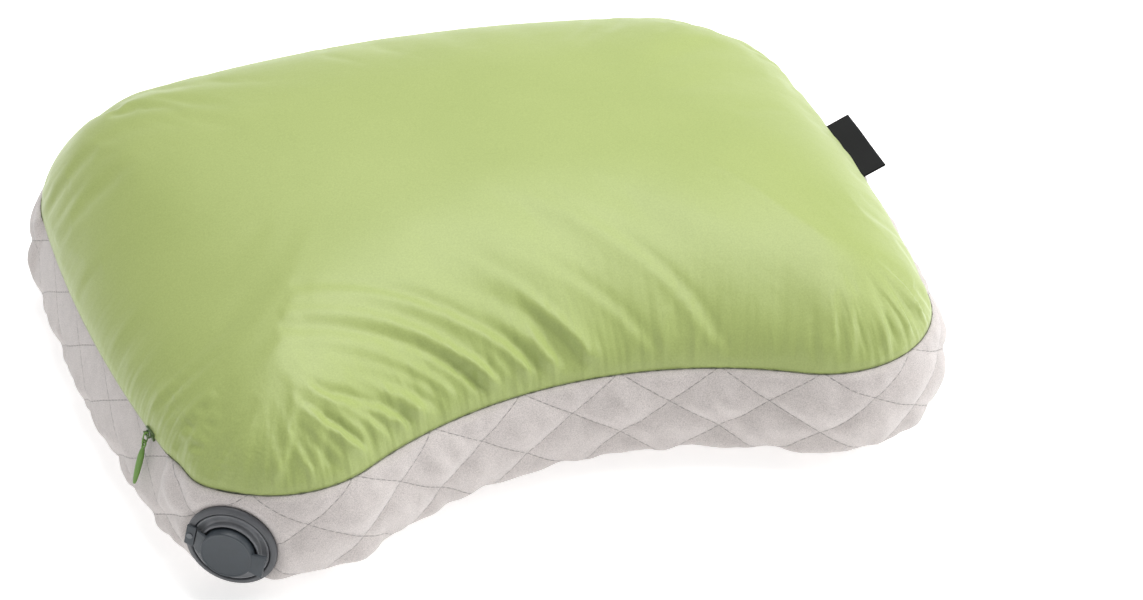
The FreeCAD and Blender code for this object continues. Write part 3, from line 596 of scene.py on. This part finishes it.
# along the zip the band is drawn in where it would push on the hanging pull
swing = next(j for j in frame["joints"] if j["name"] == "pull_swing")
PULL_LEAN, PULL_ROOM = math.radians(18), 4.2 * MM
bar_out = np.linalg.norm(np.array(swing["pos_m"][:2]) - np.array(zip_arc["pos_m"][:2])) - SIDE_R
pull_line = bar_out + (SEAM_Z - BASE_SEAM_Z) * (1 - band_share) * math.tan(PULL_LEAN)
too_far = np.maximum(0, stand_out - (pull_line - PULL_ROOM))
stand_out -= too_far * zip_open(band_run) * smooth(band_share, 0.2, 0.4)
band_flat, band_dir = seam_point(band_run)
band_z = (BASE_SEAM_Z + (SEAM_Z - BASE_SEAM_Z) * band_share
          + 1.4 * MM * droop * np.sin(math.pi * band_share) * (1 - band_share)
          - (1.0 + 2.2 * scallop) * MM * foot_roll + 0.5 * MM * head_roll
          - ZIP_PART * zip_open(band_run) * band_share ** 6)
band_places = np.column_stack((band_flat + band_dir * stand_out[:, None], band_z))
band_places, valve_radius, near_valve = seat_valve(band_places)
side_band = grid_piece("side_band_quilted", BAND_AROUND, BAND_UP, band_places)
lay_cut(side_band, band_run / (ROUND / diamonds), band_height / DIAMOND_TALL)
on_stitch = (nearest_line * DIAMOND_ACROSS < STITCH_HALF).astype(float)
at_edge = ((band_share < 0.01) | (band_share > 0.99) | (band_run < around[1]) | (band_run > around[-2]))
by_valve = near_valve & (valve_radius < 27 * MM)
inflate(side_band, np.where(at_edge | by_valve, 1.0, on_stitch), np.full(len(band_run), 0.6),
        push=3.0, frames=12, cap=2.5 * MM)
# the hole that the valve comes through, hidden under its flange
bpy.ops.object.select_all(action="DESELECT")
bpy.context.view_layer.objects.active = side_band
side_band.data.edges.foreach_set("select", np.zeros(len(side_band.data.edges), bool))
side_band.data.polygons.foreach_set("select", np.zeros(len(side_band.data.polygons), bool))
side_band.data.vertices.foreach_set("select", near_valve & (valve_radius < HOLE_R))
bpy.ops.object.mode_set(mode="EDIT")
bpy.ops.mesh.delete(type="VERT")
bpy.ops.object.mode_set(mode="OBJECT")
sew(side_band)
finish_modifier(side_band, "SUBSURF", levels=1, render_levels=1)
finish_modifier(side_band, "SOLIDIFY", thickness=0.8 * MM, offset=-1)
bpy.ops.object.shade_smooth()
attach(side_band, "pillow")
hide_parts("side_band", "side_wadding")


def quilted_finish(name, pale, dark):
    """Brushed microfibre: a soft nap with fine specks, and thread run along the diamonds."""
    made, nodes, links, shader = new_material(name, pale, 0.95)
    coords = nodes.new("ShaderNodeTexCoord").outputs["Object"]
    cut = nodes.new("ShaderNodeUVMap")
    cut.uv_map = "cut"
    parts = nodes.new("ShaderNodeSeparateXYZ")
    links.new(cut.outputs["UV"], parts.inputs[0])
    gaps = []
    for kind in ("ADD", "SUBTRACT"):
        total = maths(nodes, links, kind, parts.outputs["X"], parts.outputs["Y"])
        shifted = maths(nodes, links, "FRACT", maths(nodes, links, "ADD", total, 50.5))
        away = maths(nodes, links, "ABSOLUTE", maths(nodes, links, "SUBTRACT", shifted, 0.5))
        gaps.append(away)
    step = maths(nodes, links, "SINE", maths(nodes, links, "MULTIPLY", parts.outputs["Y"], 95.0))
    nearest = maths(nodes, links, "MINIMUM", gaps[0], gaps[1])
    line = maths(nodes, links, "SUBTRACT", 1.0,
                 maths(nodes, links, "MINIMUM", maths(nodes, links, "MULTIPLY", nearest, 80.0), 1.0))
    dash = maths(nodes, links, "GREATER_THAN", step, -0.35)
    thread = maths(nodes, links, "MULTIPLY", line, dash)
    speck = noise(nodes, links, coords, 2300, 2, 0.7)
    nap = noise(nodes, links, coords, 110, 4, 0.6)
    shade = ramp(nodes, links, speck, [(0.28, dark), (0.60, pale)])
    soft = ramp(nodes, links, nap, [(0.3, (0.90, 0.90, 0.90)), (0.7, (1.0, 1.0, 1.0))])
    mix = nodes.new("ShaderNodeMix")
    mix.data_type, mix.blend_type = "RGBA", "MULTIPLY"
    mix.inputs["Factor"].default_value = 1.0
    links.new(shade, mix.inputs["A"])
    links.new(soft, mix.inputs["B"])
    sewn = nodes.new("ShaderNodeMix")
    sewn.data_type = "RGBA"
    links.new(maths(nodes, links, "MULTIPLY", thread, 0.65), sewn.inputs["Factor"])
    links.new(mix.outputs["Result"], sewn.inputs["A"])
    sewn.inputs["B"].default_value = (0.13, 0.125, 0.125, 1)
    links.new(sewn.outputs["Result"], shader.inputs["Base Color"])
    shader.inputs["Sheen Weight"].default_value = 0.4
    shader.inputs["Sheen Roughness"].default_value = 0.6
    shader.inputs["Specular IOR Level"].default_value = 0.15
    nap_bump = bump(nodes, links, speck, 0.35, 0.0005, shader)
    bump(nodes, links, maths(nodes, links, "MULTIPLY", line, -1.0), 0.5, 0.0008, shader, nap_bump)
    return made


microfibre = quilted_finish("brushed_grey_microfibre", (0.640, 0.588, 0.566), (0.395, 0.362, 0.35))
assign(side_band, microfibre)

# ==== Base panel ===================================================================================
# The underside is the same quilted microfibre. It lies flat where it rests and turns up at its edge
# to meet the foot of the band.
BASE_ACROSS, BASE_ALONG = 200, 168
TURN_UP_WIDE, STITCH_DEEP = 15 * MM, 1.1 * MM
base_flat = patch(BASE_ACROSS, BASE_ALONG, 0.6)
base_away = to_rim(base_flat)[0]
base_first, base_second = stitch_lines(base_flat[:, 0], base_flat[:, 1])[1:]
base_puff = np.abs(np.sin(math.pi * base_first) * np.sin(math.pi * base_second)) ** 0.5
turn_up = (1 - np.clip(base_away / TURN_UP_WIDE, 0, 1)) ** 2.2
base_z = BASE_SEAM_Z * turn_up + STITCH_DEEP * (1 - base_puff) * (1 - turn_up)
base_panel = grid_piece("base_panel_quilted", BASE_ACROSS, BASE_ALONG, np.column_stack((base_flat, base_z)))
lay_cut(base_panel, base_flat[:, 0] / (ROUND / diamonds), base_flat[:, 1] / DIAMOND_TALL)
finish_modifier(base_panel, "SOLIDIFY", thickness=0.8 * MM, offset=1)
bpy.ops.object.shade_smooth()
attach(base_panel, "pillow")
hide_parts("base_panel")
assign(base_panel, microfibre)

# ==== Fibre fill and its lining ====================================================================
# A deep layer of soft fibre lies under the top panel, held from below by a thin lining, so the crown
# stays soft over the air core.
FILL_ACROSS, FILL_ALONG = 70, 60
FILL_INSET, FILL_DROP, FILL_UNDER, FILL_EDGE = 12 * MM, 6 * MM, 12 * MM, 8 * MM


def fill_layer(name):
    """A crowned layer inside the top: a domed upper face and a lower face, closed at the rim."""
    flat = patch(FILL_ACROSS, FILL_ALONG)
    centre = np.array((0, 5 * MM))
    away = to_rim(flat)[0]
    flat = centre + (flat - centre) * (1 - FILL_INSET / (150 * MM))
    high = SEAM_Z + crown_height(away, flat, 85 * MM, 34 * MM, 10 * MM) - FILL_DROP
    high = np.maximum(high, SEAM_Z + FILL_EDGE + 1 * MM)
    low = SEAM_Z + FILL_EDGE + FILL_UNDER * np.sqrt(np.clip(away / (90 * MM), 0, 1))
    made = grid_piece(name, FILL_ACROSS, FILL_ALONG, np.column_stack((flat, high)))
    under = grid_piece(name + "_under", FILL_ACROSS, FILL_ALONG, np.column_stack((flat, low)))
    under.data.flip_normals()
    made.select_set(True)
    under.select_set(True)
    bpy.context.view_layer.objects.active = made
    bpy.ops.object.join()
    bpy.ops.object.mode_set(mode="EDIT")
    bpy.ops.mesh.select_all(action="DESELECT")
    bpy.ops.mesh.select_mode(type="EDGE")
    bpy.ops.mesh.select_non_manifold()
    bpy.ops.mesh.bridge_edge_loops()
    bpy.ops.object.mode_set(mode="OBJECT")
    bpy.ops.object.shade_smooth()
    return made


top_fill = fill_layer("top_fibre_fill")
faces_outward(top_fill)
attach(top_fill, "pillow")
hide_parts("top_fill")
fibre, nodes, links, shader = new_material("white_fibre", (0.88, 0.88, 0.86), 0.95)
coords = nodes.new("ShaderNodeTexCoord").outputs["Object"]
fluff = noise(nodes, links, coords, 260, 6, 0.7)
links.new(ramp(nodes, links, fluff, [(0.35, (0.80, 0.80, 0.78)), (0.65, (0.93, 0.93, 0.91))]),
          shader.inputs["Base Color"])
bump(nodes, links, fluff, 0.6, 0.001, shader)
assign(top_fill, fibre)

# ==== Seams ========================================================================================
# The top seam is a narrow bound edge with dark thread, its dark colour partly painted seam shade, drawn in so
# that the cloth puckers over it.
# The foot seam is the same cord in the band's grey microfibre. The top one stops at both ends of the zip.
SEAM_INSET = 0.1 * MM


def seam_cord(name, z, first, last, thick):
    """A thin bound seam along the outline, round in section and uneven from the puckers."""
    count, sides = int((last - first) / (1.6 * MM)), 7
    run = np.linspace(first, last, count)
    flat, out = seam_point(run)
    uneven = thick + 0.12 * MM * waves(run, 61, 9 * MM, 5 * MM, 5)
    places = []
    for angle in np.linspace(0, 2 * math.pi, sides):
        reach = uneven * math.cos(angle) - SEAM_INSET + (tuck(run) if z > BASE_SEAM_Z else 0)
        places.append(np.column_stack((flat + out * reach[:, None], z + uneven * math.sin(angle))))
    made = grid_piece(name, count, sides, np.concatenate(places))
    sew(made)
    bpy.ops.object.mode_set(mode="EDIT")
    bpy.ops.mesh.fill_holes(sides=sides)
    bpy.ops.mesh.normals_make_consistent(inside=False)
    bpy.ops.object.mode_set(mode="OBJECT")
    bpy.ops.object.shade_smooth()
    return made


# Dark olive: the binding's dark thread, and partly painted shade where the seam tucks in between the panels.
bound, nodes, links, shader = new_material("dark_olive_thread_and_painted_seam_shade", (0.10, 0.11, 0.06), 0.8)
coords = nodes.new("ShaderNodeTexCoord").outputs["Object"]
thread_noise = noise(nodes, links, coords, 700, 2)
links.new(ramp(nodes, links, thread_noise, [(0.35, (0.09, 0.10, 0.06)), (0.65, (0.20, 0.215, 0.13))]),
          shader.inputs["Base Color"])
bump(nodes, links, thread_noise, 0.5, 0.0003, shader)
top_seam = seam_cord("top_seam", SEAM_Z, zip_run_front - ROUND + 2 * MM, zip_run_back - 2 * MM, 0.42 * MM)
base_seam = seam_cord("foot_seam", BASE_SEAM_Z, 0, ROUND, 0.5 * MM)
lay_cut(base_seam, np.full(len(base_seam.data.vertices), 0.5), np.zeros(len(base_seam.data.vertices)))
for piece, node, finish in ((top_seam, "top_seam_binding", bound),
                            (base_seam, "base_seam_binding", microfibre)):
    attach(piece, "pillow")
    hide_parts(node)
    assign(piece, finish)

# ==== Valve ========================================================================================
# The valve is moulded in grey plastic and welded to the air core through a hole in the band. A slate
# cap on a strap plugs its port. Its faces carry the fine rings of the mould.
def refinish(finish, *names):
    """Gives moulded or woven parts of the frame their finish."""
    for name in names:
        for place in bpy.data.objects[name].material_slots:
            place.material = finish


def moulded(name, colour, roughness, rings=0.0, grain=1400):
    """Satin moulded plastic: a fine spark-eroded grain, a little uneven in gloss, with tool rings if any."""
    made, nodes, links, shader = new_material(name, colour, roughness)
    coords = nodes.new("ShaderNodeTexCoord").outputs["Object"]
    cloud = noise(nodes, links, coords, 160, 4)
    paler = tuple(min(1, 1.18 * part + 0.004) for part in colour)
    links.new(ramp(nodes, links, cloud, [(0.35, colour), (0.7, paler)]), shader.inputs["Base Color"])
    rough = ramp(nodes, links, cloud, [(0.3, (roughness - 0.06,) * 3), (0.7, (roughness + 0.07,) * 3)])
    links.new(rough, shader.inputs["Roughness"])
    under = bump(nodes, links, noise(nodes, links, coords, grain, 2), 0.18, 0.0001, shader)
    if rings:
        centred = nodes.new("ShaderNodeMapping")
        centred.vector_type = "TEXTURE"
        centred.inputs["Location"].default_value = VALVE.translation
        centred.inputs["Rotation"].default_value = VALVE.to_euler()
        links.new(coords, centred.inputs["Vector"])
        wave = nodes.new("ShaderNodeTexWave")
        wave.wave_type, wave.rings_direction = "RINGS", "Z"
        wave.inputs["Scale"].default_value = rings
        links.new(centred.outputs["Vector"], wave.inputs["Vector"])
        bump(nodes, links, wave.outputs["Fac"], 0.25, 0.0001, shader, under)
    return made


def turned(name, profile, place, sides=96, soften=0.16):
    """Spins a closed profile of (radius, height) in millimetres, softens its edges and sets it in place."""
    bpy.ops.object.select_all(action="DESELECT")
    bpy.ops.mesh.primitive_circle_add(vertices=len(profile), radius=1)
    piece = bpy.context.object
    piece.name = name
    place_points(piece, [(radius * MM, 0, height * MM) for radius, height in profile])
    bpy.ops.object.mode_set(mode="EDIT")
    bpy.ops.mesh.select_all(action="SELECT")
    bpy.ops.mesh.spin(steps=sides, angle=2 * math.pi, center=(0, 0, 0), axis=(0, 0, 1))
    bpy.ops.object.mode_set(mode="OBJECT")
    sew(piece)
    finish_modifier(piece, "BEVEL", width=soften * MM, segments=2, limit_method="ANGLE",
                    angle_limit=math.radians(28))
    bpy.ops.object.shade_smooth_by_angle(angle=math.radians(32))
    piece.data.transform(place)
    return piece


def plate(name, sections, place, soften=0.3):
    """A moulded strip through two sections, each (along, low, high, half width) in millimetres."""
    bpy.ops.object.select_all(action="DESELECT")
    bpy.ops.mesh.primitive_cube_add(size=2)
    piece = bpy.context.object
    piece.name = name
    corners = []
    for x, y, z in points_of(piece):
        along, low, high, half = sections[1 if x > 0 else 0]
        corners.append((along * MM, y * half * MM, (high if z > 0 else low) * MM))
    place_points(piece, corners)
    finish_modifier(piece, "BEVEL", width=soften * MM, segments=3, limit_method="ANGLE",
                    angle_limit=math.radians(28))
    bpy.ops.object.shade_smooth_by_angle(angle=math.radians(32))
    piece.data.transform(place)
    return piece


def weld(piece, *others):
    """Makes overlapping mouldings one closed shell."""
    for other in others:
        finish_modifier(piece, "BOOLEAN", object=other, operation="UNION", solver="EXACT")
        bpy.data.objects.remove(other)


grey_plastic = moulded("grey_valve_plastic", (0.070, 0.073, 0.080), 0.44, rings=420)
# The insert is the same grey plastic as the flange, coloured lighter as painted light falling on its dish.
insert_grey_painted_lighter = moulded("grey_insert_painted_lighter", (0.155, 0.160, 0.170), 0.36, rings=420)
slate_plastic = moulded("slate_cap_plastic", (0.030, 0.038, 0.046), 0.46)
flange = turned("valve_flange_turned", [
    (9.2, -6.6), (9.2, 0.8), (18, 0.8), (18, 2.2), (18.4, 2.75), (19.1, 2.6), (20.4, 2.1), (21, 1.4),
    (21, 0.02), (10.4, 0.02), (10.4, -5.8), (18, -5.8), (18, -6.6)], VALVE)
insert = turned("valve_insert_turned", [
    (7.6, -7.8), (7.6, 1.6), (12.7, 1.6), (12.7, 4.4), (13.0, 4.8), (13.4, 4.8), (13.7, 4.4), (13.8, 2.0),
    (14.6, 1.7), (15.8, 1.9), (16.7, 2.4), (17.2, 2.65), (17.6, 2.3), (17.6, 0.85), (8.8, 0.85), (8.8, -7.8)],
    VALVE)
cap = turned("valve_cap_turned", [
    (0, 8.4), (10.9, 8.4), (11.2, 8.6), (11.8, 8.6), (12, 8.2), (12, 3.4), (10.8, 3.4), (10.8, 7), (7.3, 7),
    (7.3, 1.6), (6.6, -1.5), (5.4, -1.5), (6.1, 1.6), (6.1, 7), (0, 7)], VALVE)
weld(cap, plate("cap_tab", [(8.6, 6.5, 8.3, 4.6), (17.4, 7.0, 8.7, 6.1)], VALVE),
     plate("cap_strap", [(-15.5, 3.8, 4.9, 5.4), (-9.6, 6.3, 8.1, 5.6)], VALVE))
bpy.ops.object.shade_smooth_by_angle(angle=math.radians(32))
ear = plate("strap_ear_moulded", [(-20.6, 2.3, 3.5, 5.2), (-16.1, 2.5, 3.9, 5.6)], VALVE)
for piece, node, body, slot, finish in (
        (flange, "valve_flange", "pillow", "valve_grey", grey_plastic),
        (insert, "valve_insert", "pillow", "valve_grey", insert_grey_painted_lighter),
        (cap, "valve_cap", "valve_cap", "cap_slate", slate_plastic),
        (ear, "strap_ear", "pillow", "cap_slate", slate_plastic)):
    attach(piece, body)
    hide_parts(node)
    assign(piece, finish)
refinish(grey_plastic, "valve_seat")
refinish(moulded("pale_pin_plastic", (0.11, 0.12, 0.13), 0.4), "strap_pin")
refinish(moulded("milky_silicone", (0.66, 0.66, 0.63), 0.5), "valve_flap", "flap_stud", "cap_seal")

# ==== Linings and air core =========================================================================
# Thin woven linings hold the wadding and the fill. The air core is clear coated film, a little milky.
def plain_weave(name, colour, pitch, roughness=0.7):
    """Thin plain-woven cloth or tape."""
    made, nodes, links, shader = new_material(name, colour, roughness)
    coords = nodes.new("ShaderNodeTexCoord").outputs["Object"]
    cloth = threads(nodes, links, coords, pitch)
    darker = tuple(0.72 * part for part in colour)
    raised = maths(nodes, links, "MULTIPLY_ADD", cloth, 0.5)
    links.new(ramp(nodes, links, raised, [(0.0, darker), (0.6, colour)]), shader.inputs["Base Color"])
    bump(nodes, links, cloth, 0.3, 0.0001, shader)
    return made


grey_lining = plain_weave("grey_lining", (0.33, 0.34, 0.35), 0.8 * MM)
refinish(grey_lining, "fill_lining", "side_lining", "base_lining")
refinish(fibre, "base_wadding")
core_film = moulded("milky_core_film", (0.62, 0.65, 0.67), 0.35, grain=500)
refinish(core_film, "core_lower_sheet", "core_upper_sheet")
refinish(bound, "valve_hole_hem")

# ==== Zip ==========================================================================================
# A small coil zip in the left seam lets the core out. Its tapes are sewn behind the seam, and a
# green moulded pull hangs from the slider by a wire link.
tape_finish = plain_weave("dark_zip_tape", (0.075, 0.085, 0.05), 0.7 * MM)
TAPE_ALONG, TAPE_ACROSS = 110, 6
tape_run = np.linspace(zip_run_back, zip_run_front, TAPE_ALONG)
tape_flat, tape_dir = seam_point(tape_run)
for name, way in (("zip_tape_upper", 1), ("zip_tape_lower", -1)):
    rows = []
    for step in np.linspace(0, 1, TAPE_ACROSS):
        inset = (2.1 + 1.9 * step + 0.12 * waves(tape_run, 81, 30 * MM, 18 * MM, 4)) * MM
        rows.append(np.column_stack((tape_flat - tape_dir * inset[:, None],
                                     np.full(TAPE_ALONG, SEAM_Z + way * (0.9 + 5.6 * step) * MM))))
    tape = grid_piece(name + "_woven", TAPE_ALONG, TAPE_ACROSS, np.concatenate(rows))
    finish_modifier(tape, "SOLIDIFY", thickness=0.45 * MM, offset=0)
    sew(tape)
    bpy.ops.object.shade_smooth()
    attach(tape, "pillow")
    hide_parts(name)
    assign(tape, tape_finish)
refinish(moulded("dark_zip_coil", (0.05, 0.055, 0.035), 0.35), "zip_coil_upper", "zip_coil_lower")
refinish(moulded("dark_green_enamel", (0.06, 0.10, 0.03), 0.3), "zip_slider", "zip_stops")
green_pull = moulded("green_pull", (0.12, 0.245, 0.04), 0.45)
refinish(green_pull, "pull_link")

# the pull's own frame: down the hanging pull, along the bail's bar, and out of the pull's face
bar_at = Vector(swing["pos_m"])
bar_along = -Vector(swing["axis"]).normalized()
seam_out = bar_along.cross(Vector((0, 0, 1)))
pull_down = seam_out * math.sin(PULL_LEAN) - Vector((0, 0, 1)) * math.cos(PULL_LEAN)
PULL = Matrix((bar_along, pull_down.cross(bar_along), pull_down)).transposed().to_4x4()
PULL.translation = bar_at
grip = turned("zip_pull_moulded", [
    (0, 5.5), (0.85, 5.6), (0.95, 6.4), (0.8, 7.0), (1.15, 8.2), (1.5, 11), (1.55, 15), (1.35, 20), (1.0, 24),
    (0.6, 25.6), (0, 26)], PULL, sides=24, soften=0.05)
bpy.ops.object.select_all(action="DESELECT")
bpy.ops.mesh.primitive_torus_add(major_radius=1.5 * MM, minor_radius=0.48 * MM, major_segments=40,
                                 minor_segments=14, location=(0, 0, 4.3 * MM), rotation=(math.pi / 2, 0, 0))
bpy.ops.object.transform_apply(location=True, rotation=True, scale=True)
eye = bpy.context.object
eye.data.transform(PULL)
grip.select_set(True)
bpy.context.view_layer.objects.active = grip
bpy.ops.object.join()
bpy.ops.object.shade_smooth_by_angle(angle=math.radians(50))
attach(grip, "zip_pull")
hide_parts("zip_pull")
assign(grip, green_pull)

# ==== Label ========================================================================================
# The label is a black woven ribbon, folded double and caught in the right seam. It carries no words.
TAG_Y, TAG_HALF, TAG_OUT, TAG_TILT = 6 * MM, 25 * MM, 13 * MM, math.radians(24)
tag_turn = math.asin((TAG_Y - SIDE[1]) / SIDE_R)
tag_ray = Vector((math.cos(tag_turn), math.sin(tag_turn), 0))
tag_along = Vector((-tag_ray.y, tag_ray.x, 0))
tag_out = tag_ray * math.cos(TAG_TILT) + Vector((0, 0, math.sin(TAG_TILT)))
tag_up = tag_out.cross(tag_along)
tag_start = Vector((*SIDE, SEAM_Z + 0.8 * MM)) + tag_ray * SIDE_R
FOLD_R, FOLD_SHARE, TAG_LONG, TAG_ROUND = 0.42 * MM, 0.375, 56, 25
tag_places = []
for turn in np.linspace(-1, 1, TAG_ROUND):
    reach = (TAG_OUT - FOLD_R) * (1 - max(0, abs(turn) - FOLD_SHARE) / (1 - FOLD_SHARE))
    bend = math.pi / 2 * min(1, abs(turn) / FOLD_SHARE)
    over, past = FOLD_R * math.copysign(math.sin(bend), turn), FOLD_R * math.cos(bend)
    for share in np.linspace(-1, 1, TAG_LONG):
        sway = (0.5 * math.sin(2.2 * share + 0.6) + 0.25 * math.sin(5 * share)) * MM * reach / TAG_OUT
        tag_places.append(tag_start + tag_along * TAG_HALF * share + tag_out * (reach + past)
                          + tag_up * (over + sway))
tag = grid_piece("side_tag_folded", TAG_LONG, TAG_ROUND, np.array(tag_places))
finish_modifier(tag, "SOLIDIFY", thickness=0.28 * MM, offset=0)
sew(tag)
bpy.ops.object.shade_smooth_by_angle(angle=math.radians(40))
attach(tag, "pillow")
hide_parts("side_tag")
assign(tag, plain_weave("black_woven_label", (0.006, 0.006, 0.008), 0.5 * MM, 0.95))
